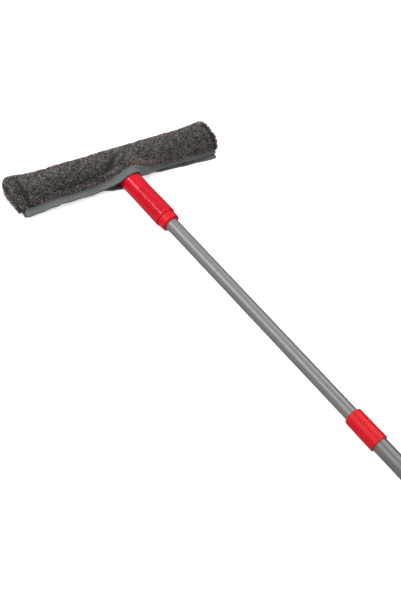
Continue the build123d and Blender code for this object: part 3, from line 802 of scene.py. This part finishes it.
def makeScatter(tufts):
    # geometry nodes that stand the tufts on a cloth panel
    tree = bpy.data.node_groups.new("pileScatter", "GeometryNodeTree")
    tree.interface.new_socket("Geometry", in_out="INPUT", socket_type="NodeSocketGeometry")
    tree.interface.new_socket("Geometry", in_out="OUTPUT", socket_type="NodeSocketGeometry")
    source = tree.nodes.new("NodeGroupInput")
    target = tree.nodes.new("NodeGroupOutput")
    points = tree.nodes.new("GeometryNodeDistributePointsOnFaces")
    points.distribute_method = "POISSON"
    fill(points, {"Distance Min": pileShape["gap"] * mm, "Density Max": pileShape["densest"],
                  "Seed": pileShape["seed"]})
    tree.links.new(source.outputs[0], points.inputs["Mesh"])
    thin = tree.nodes.new("GeometryNodeInputNamedAttribute")
    thin.data_type = "FLOAT"
    fill(thin, {"Name": "thin"})
    rich = mathNode(tree, "SUBTRACT", 1.0, mathNode(tree, "POWER", thin.outputs[0], pileShape["thinning"]))
    tree.links.new(rich, points.inputs["Density Factor"])
    kinds = tree.nodes.new("GeometryNodeCollectionInfo")
    fill(kinds, {"Collection": tufts, "Separate Children": True, "Reset Children": True})
    # neighbouring tufts lean the same way, so that the pile forms clumps
    cloud = tree.nodes.new("ShaderNodeTexNoise")
    fill(cloud, {"Scale": pileShape["clump"], "Detail": 1.0})
    lean = tree.nodes.new("ShaderNodeVectorMath")
    lean.operation = "MULTIPLY_ADD"
    tree.links.new(cloud.outputs["Color"], lean.inputs[0])
    clumpLean = pileShape["clumpLean"]
    lean.inputs[1].default_value = (clumpLean, clumpLean, 0)
    lean.inputs[2].default_value = (-clumpLean / 2, -clumpLean / 2, 0)
    turn = tree.nodes.new("FunctionNodeRandomValue")
    turn.data_type = "FLOAT_VECTOR"
    ownLean = pileShape["ownLean"]
    fill(turn, {"Min": (-ownLean, -ownLean, -math.pi), "Max": (ownLean, ownLean, math.pi)})
    aim = points.outputs["Rotation"]
    for angles in (lean.outputs[0], turn.outputs[0]):
        swing = tree.nodes.new("FunctionNodeEulerToRotation")
        tree.links.new(angles, swing.inputs[0])
        joined = tree.nodes.new("FunctionNodeRotateRotation")
        joined.rotation_space = "LOCAL"
        tree.links.new(aim, joined.inputs[0])
        tree.links.new(swing.outputs[0], joined.inputs[1])
        aim = joined.outputs[0]
    size = tree.nodes.new("FunctionNodeRandomValue")
    size.data_type = "FLOAT"
    size.inputs[2].default_value, size.inputs[3].default_value = pileShape["sizes"]
    # the pile is pressed short where the cloth lies on the floor
    spot = tree.nodes.new("GeometryNodeInputPosition")
    split = tree.nodes.new("ShaderNodeSeparateXYZ")
    tree.links.new(spot.outputs[0], split.inputs[0])
    low, standing, left = pileShape["pressed"]
    room = tree.nodes.new("ShaderNodeMapRange")
    fill(room, {"From Min": low * mm, "From Max": pileShape["length"] * standing * mm, "To Min": left})
    tree.links.new(split.outputs[2], room.inputs["Value"])
    kept = mathNode(tree, "SUBTRACT", 1.0, mathNode(tree, "MULTIPLY", thin.outputs[0], pileShape["bareCut"]))
    tall = mathNode(tree, "MULTIPLY", mathNode(tree, "MULTIPLY", size.outputs[1], room.outputs[0]), kept)
    stretch = tree.nodes.new("ShaderNodeCombineXYZ")
    tree.links.new(size.outputs[1], stretch.inputs[0])
    tree.links.new(size.outputs[1], stretch.inputs[1])
    tree.links.new(tall, stretch.inputs[2])
    copies = tree.nodes.new("GeometryNodeInstanceOnPoints")
    fill(copies, {"Pick Instance": True})
    tree.links.new(points.outputs["Points"], copies.inputs["Points"])
    tree.links.new(kinds.outputs[0], copies.inputs["Instance"])
    tree.links.new(aim, copies.inputs["Rotation"])
    tree.links.new(stretch.outputs[0], copies.inputs["Scale"])
    # each tuft keeps one shade, from light and dark spots over the cloth and its own chance, with painted shade making
    # it darker where the pile is thin, in the folds, crease and seams
    spots = tree.nodes.new("ShaderNodeTexNoise")
    fill(spots, {"Scale": pileShape["shade"], "Detail": 1.5})
    keep = tree.nodes.new("GeometryNodeStoreNamedAttribute")
    keep.data_type = "FLOAT"
    keep.domain = "INSTANCE"
    fill(keep, {"Name": "shade"})
    tree.links.new(copies.outputs[0], keep.inputs["Geometry"])
    chance = tree.nodes.new("FunctionNodeRandomValue")
    chance.data_type = "FLOAT"
    fill(chance, {"Seed": pileShape["seed"]})
    shade = mathNode(tree, "ADD", mathNode(tree, "MULTIPLY", spots.outputs["Fac"], pileShape["shadeSpots"]),
                     mathNode(tree, "MULTIPLY", chance.outputs[1], 1 - pileShape["shadeSpots"]))
    # painted shade: tufts in thin places are made darker
    paintedThinShade = mathNode(tree, "MULTIPLY", mathNode(tree, "MAXIMUM", thin.outputs[0], 0.0), pileShape["paintedBareShade"])
    tree.links.new(mathNode(tree, "SUBTRACT", shade, paintedThinShade), keep.inputs["Value"])
    real = tree.nodes.new("GeometryNodeRealizeInstances")
    tree.links.new(keep.outputs[0], real.inputs[0])
    tree.links.new(real.outputs[0], target.inputs[0])
    return tree


def makePile():
    tufts = bpy.data.collections.new("tufts")
    for number in range(pileShape["kinds"]):
        tufts.objects.link(makeTuft(number))
    scatter = makeScatter(tufts)
    reach = sleeveHalf + pileShape["panelReach"] * mm
    pile = []
    for panel in range(pileShape["panels"]):
        # one stretch of the cloth along the head
        low = between(-reach, reach, panel / pileShape["panels"])
        high = between(-reach, reach, (panel + 1) / pileShape["panels"])
        stretch = bmesh.new()
        stretch.from_mesh(cloth.data)
        for cut, side in ((low, -1), (high, 1)):
            bmesh.ops.bisect_plane(
                stretch, geom=stretch.verts[:] + stretch.edges[:] + stretch.faces[:],
                plane_co=(cut, 0, 0), plane_no=(side, 0, 0), clear_outer=True,
            )
        piece = addPiece(f"pile{panel + 1}", meshFrom("pilePanel", stretch), pileGrey)
        grow = piece.modifiers.new("scatter", "NODES")
        grow.node_group = scatter
        bake(piece)
        piece.data.materials.clear()
        piece.data.materials.append(pileGrey)
        piece.data.shade_smooth()
        pile.append(piece)
        print(piece.name, len(piece.data.polygons), "faces")
    for tuft in list(tufts.objects):
        bpy.data.objects.remove(tuft)
    bpy.data.collections.remove(tufts)
    return pile


pile = makePile()
# the cloth gets its thickness after the pile stands on it
wall = cloth.modifiers.new("wall", "SOLIDIFY")
wall.thickness = clothShape["wall"] * mm
wall.offset = -1
bake(cloth)
for piece in [cloth] + pile:
    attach(piece, "head")
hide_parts("wash_sleeve")

# tape folded round the edges of the flaps, in the cloth's millimetres
tapeShape = {
    "columns": 172,
    "frontRows": 28,
    "backRows": 24,
    "endMargin": (5.2, -2.0),  # left and right
    "thickness": 0.9,
    "wave": (0.3, 0.045, 0.5),  # height, scale and share upwards
    "tuck": 1.2,  # how far the front tape lies on the pile's edge, its distance from the cloth and its sag
    "over": 0.7,
    "sag": 0.3,
    "roll": 0.8,  # half the thickness of the fold at the free edge, and how round it is
    "nose": 0.8,
    "under": (1.9, 1.2),  # how far apart the fold's layers lie, halfway and at the cloth
    "arch": (0, 27, 0.58),
    "archRight": 25,
    "settle": 70,
    "neckRoom": 17.1,
    "liftedReach": -29.0,
    "rise": 17.4,
    # height and reach of the front tape's free edge where it lies, along the head
    "frontEdge": [(-175, -10.8), (-145, -9.3), (-132, -7.0), (-115, -5.2), (-98, -6.6), (-80, -6.4), (-64, -8.3),
                  (-40, -7.4), (0, -7.0), (30, -6.6), (62, -7.2), (90, -8.0), (123, -8.8), (150, -10.2), (175, -9.8)],
    "reach": [(-175, -24.8), (20, -24.8), (70, -18.2), (175, -18.6)],
    # reach of the back tape's free edge along the head
    "backEdge": [(-175, -19.0), (-150, -19.2), (-130, -17.5), (-109, -15.8), (-60, -18.0), (-37, -17.2),
                 (-19, -21.9), (0, -24.5), (22, -18.0), (43, -12.0), (60, -12.4), (74, -15.6), (130, -19.0),
                 (165, -22.0), (175, -22.0)],
    "backHeight": -16.6,
    "backRoll": 0.75,
    "backDrop": 0.2,
    "backRoot": [(3, 0.6), (0, 0.1)],  # lower layer under the cloth's edge, and upper layer on it
    "backTop": [(-0.8, 1.4), (2.5, 1.4)],
}


def frontTapeRow(x):
    root, above = clothPoints(x)[:2]
    raised = lift(x, tapeShape["arch"], tapeShape["archRight"], tapeShape["settle"])
    height = between(along(tapeShape["frontEdge"], x), tapeShape["rise"], raised)
    reach = between(along(tapeShape["reach"], x), tapeShape["liftedReach"], raised)
    edge = Vector((reach, overNeck(x, height, tapeShape["neckRoom"])))
    tuck = root + (above - root).normalized() * (along(clothShape["hem"], x) + tapeShape["tuck"])
    run = (edge - root).normalized()
    down = Vector((-run.y, run.x))
    roll = tapeShape["roll"]
    over = down * tapeShape["over"]
    sag = root.lerp(edge, 0.5) + down * tapeShape["sag"]
    turn = edge + run * roll * tapeShape["nose"] + down * roll
    back = edge + down * roll * 2
    halfway, inmost = tapeShape["under"]
    return [tuck - over, root - over, sag, edge, turn, back, sag + down * roll * halfway, root + down * roll * inmost]


def backTapeRow(x):
    root = clothPoints(x)[-1]
    edge = Vector((along(tapeShape["backEdge"], x), tapeShape["backHeight"]))
    roll = tapeShape["backRoll"]
    fold = [edge + Vector(away) for away in ((0, -tapeShape["backDrop"]), (-roll, roll), (0, roll * 2))]
    below, above = ([root + Vector(away) for away in tapeShape[layer]] for layer in ("backRoot", "backTop"))
    return below + fold + above


def makeTape(name, rowShape, rows, finish):
    left, right = (sleeveHalf / mm - margin for margin in tapeShape["endMargin"])
    columns = tapeShape["columns"]
    height, scale, upwards = tapeShape["wave"]
    table = []
    for column in range(columns + 1):
        x = between(-left, right, column / columns)
        line = smoothRun(rowShape(x), rows)
        table.append([Vector((x, point.x, point.y)) for point in line])

    def spot(column, row):
        point = table[column][row]
        away = noise.noise(Vector((point.x * scale, 3.1, 0))) * height
        return place(point + Vector((0, away, away * upwards)))

    piece = gridPiece(name, columns, rows, spot, finish)
    body = piece.modifiers.new("body", "SOLIDIFY")
    body.thickness = tapeShape["thickness"] * mm
    body.offset = 0
    bake(piece)
    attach(piece, "head")
    return piece


frontTape = makeTape("frontTape", frontTapeRow, tapeShape["frontRows"], tapeGrey)
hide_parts("front_binding")
backTape = makeTape("backTape", backTapeRow, tapeShape["backRows"], tapeGrey)
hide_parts("back_binding")

# one row of short thread stitches holds each tape on the cloth: where it runs on the tape, and on which face
stitchShape = {"length": 2.5, "pitch": 3.4, "thick": 0.5, "margin": 3, "steps": 50, "front": (0.21, 1),
               "back": (0.22, -1)}


def makeStitches(name, rowShape, share, side):
    steps = stitchShape["steps"]

    def spot(x):
        # a point on the tape and the way out of its face
        line = smoothRun(rowShape(x), steps)
        first = round(share * steps)
        run = (line[first + 1] - line[first]).normalized() * side
        out = Vector((0, run.y, -run.x))
        return place((x, *line[first])) + out * tapeShape["thickness"] / 2 * mm, out

    half = sleeveHalf / mm - max(tapeShape["endMargin"]) - stitchShape["margin"]
    count = int(2 * half / stitchShape["pitch"])
    row = bmesh.new()
    for number in range(count):
        x = half * (2 * (number + 0.5) / count - 1)
        start, out = spot(x - stitchShape["length"] / 2)
        end, out = spot(x + stitchShape["length"] / 2)
        lengthwise = (end - start).normalized()
        sideways = out.cross(lengthwise).normalized()
        aim = Matrix((lengthwise, sideways, lengthwise.cross(sideways))).transposed().to_4x4()
        size = Matrix.Diagonal((stitchShape["length"], stitchShape["thick"], stitchShape["thick"], 1)) * mm
        size[3][3] = 1
        bmesh.ops.create_uvsphere(row, u_segments=6, v_segments=4, radius=0.5,
                                  matrix=Matrix.Translation((start + end) / 2) @ aim @ size)
    piece = addPiece(name, meshFrom(name, row), threadGrey)
    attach(piece, "head")
    return piece


frontStitches = makeStitches("frontStitches", frontTapeRow, *stitchShape["front"])
backStitches = makeStitches("backStitches", backTapeRow, *stitchShape["back"])
print("tapes made and sewn on")

# closing strips: a woven band each, rounded at the corners, and the width over which the weave's map repeats
stripShape = {"round": 0.35, "repeat": 13}


def makeStrips(name):
    strips = bmesh.new()
    strips.from_mesh(nodes[name].data)
    bmesh.ops.remove_doubles(strips, verts=strips.verts, dist=1e-6)
    bmesh.ops.dissolve_limit(strips, angle_limit=0.01, verts=strips.verts, edges=strips.edges)
    bmesh.ops.bevel(strips, geom=strips.edges[:], offset=stripShape["round"] * mm, affect="EDGES", segments=2,
                    profile=0.5, material=-1)
    bands = strips.loops.layers.uv.new("weave")
    for face in strips.faces:
        for loop in face.loops:
            spot = loop.vert.co
            loop[bands].uv = ((spot.x - cadLow.x) / (cadHigh.x - cadLow.x), spot.y / mm / stripShape["repeat"])
    piece = addPiece(name.split("_")[0] + "Bands", meshFrom(name, strips), stripBlack)
    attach(piece, "head")
    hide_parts(name)


makeStrips("hook_strips")
makeStrips("loop_strips")
print("closing strips made")

# floor, light and camera
stageShape = {
    "floor": 14.0,
    "floorLook": {"Base Color": (0.96, 0.96, 0.96, 1), "Roughness": 0.9, "Specular IOR Level": 0.1,
                  "Emission Color": (1, 1, 1, 1), "Emission Strength": 0.5},
    "sky": [(0.0, 0.55), (0.5, 0.95), (1.0, 1.3)],  # from straight below over the horizon to straight above
    "dark": (0.25, 1.1),  # where the dark side to the right begins, and how dark it gets
    "strip": {"place": (-0.72, 0.62, 0.61), "aim": (0.0, 0.45, 0.0), "size": (1.05, 0.25), "power": 10.4},
    "softbox": {"place": (1.2, 0.6, 2.55), "aim": (0.0, 0.3, 0.0), "size": (1.2, 1.2), "power": 39.0},
}
cameraShape = {
    "place": (-0.99686, -0.35017, 1.04093),
    "azimuth": -57.926,
    "elevation": 42.664,
    "roll": 24.306,
    "lens": 70.85,
    "sensor": 36.0,
    "clip": (0.01, 50),
}


def makeFloor():
    ground = bmesh.new()
    bmesh.ops.create_grid(ground, x_segments=1, y_segments=1, size=stageShape["floor"] / 2)
    finish, _, shader = newFinish("paleFloor")
    fill(shader, stageShape["floorLook"])
    floor = addPiece("floor", meshFrom("floor", ground), finish)
    # no glare from below on the tool
    floor.visible_diffuse = False
    floor.visible_glossy = False


def makeLight(name, shape):
    lamp = bpy.data.lights.new(name, "AREA")
    lamp.shape = "RECTANGLE"
    lamp.size, lamp.size_y = shape["size"]
    lamp.energy = shape["power"]
    holder = bpy.data.objects.new(name, lamp)
    scene.collection.objects.link(holder)
    holder.location = shape["place"]
    holder.rotation_mode = "QUATERNION"
    holder.rotation_quaternion = (Vector(shape["aim"]) - Vector(shape["place"])).to_track_quat("-Z", "Y")


def makeCamera():
    lensBox = bpy.data.cameras.new("camera")
    lensBox.lens = cameraShape["lens"]
    lensBox.sensor_width = cameraShape["sensor"]
    lensBox.clip_start, lensBox.clip_end = cameraShape["clip"]
    holder = bpy.data.objects.new("camera", lensBox)
    scene.collection.objects.link(holder)
    holder.location = cameraShape["place"]
    azimuth = math.radians(cameraShape["azimuth"])
    elevation = math.radians(cameraShape["elevation"])
    back = Vector((math.sin(azimuth) * math.cos(elevation), -math.cos(azimuth) * math.cos(elevation),
                   math.sin(elevation)))
    holder.rotation_mode = "QUATERNION"
    level = (-back).to_track_quat("-Z", "Y")
    holder.rotation_quaternion = level @ Quaternion((0, 0, 1), math.radians(cameraShape["roll"]))
    scene.camera = holder


def makeSky():
    sky = bpy.data.worlds.new("softSky")
    sky.use_nodes = True
    tree = sky.node_tree
    backdrop = tree.nodes["Background"]
    where = tree.nodes.new("ShaderNodeTexCoord")
    split = tree.nodes.new("ShaderNodeSeparateXYZ")
    tree.links.new(where.outputs["Generated"], split.inputs[0])
    height = mathNode(tree, "ADD", mathNode(tree, "MULTIPLY", split.outputs[2], 0.5), 0.5)
    shade = tone(tree, height, [(share, (glow,) * 3) for share, glow in stageShape["sky"]])
    # the backdrop itself stays white
    path = tree.nodes.new("ShaderNodeLightPath")
    mix = tree.nodes.new("ShaderNodeMix")
    mix.data_type = "RGBA"
    tree.links.new(path.outputs["Is Camera Ray"], mix.inputs["Factor"])
    tree.links.new(shade, mix.inputs[6])
    mix.inputs[7].default_value = (1, 1, 1, 1)
    tree.links.new(mix.outputs[2], backdrop.inputs["Color"])
    # a dark side to the right, for the tool's edges
    start, depth = stageShape["dark"]
    dark = mathNode(tree, "MULTIPLY", mathNode(tree, "ADD", split.outputs[0], -start, clamp=True), depth)
    glow = mathNode(tree, "MAXIMUM", mathNode(tree, "SUBTRACT", 1.0, dark), path.outputs["Is Camera Ray"])
    tree.links.new(glow, backdrop.inputs["Strength"])
    scene.world = sky


makeFloor()
makeLight("stripLight", stageShape["strip"])
makeLight("softbox", stageShape["softbox"])
makeCamera()
makeSky()
scene.view_settings.view_transform = "Standard"
print("stage set")
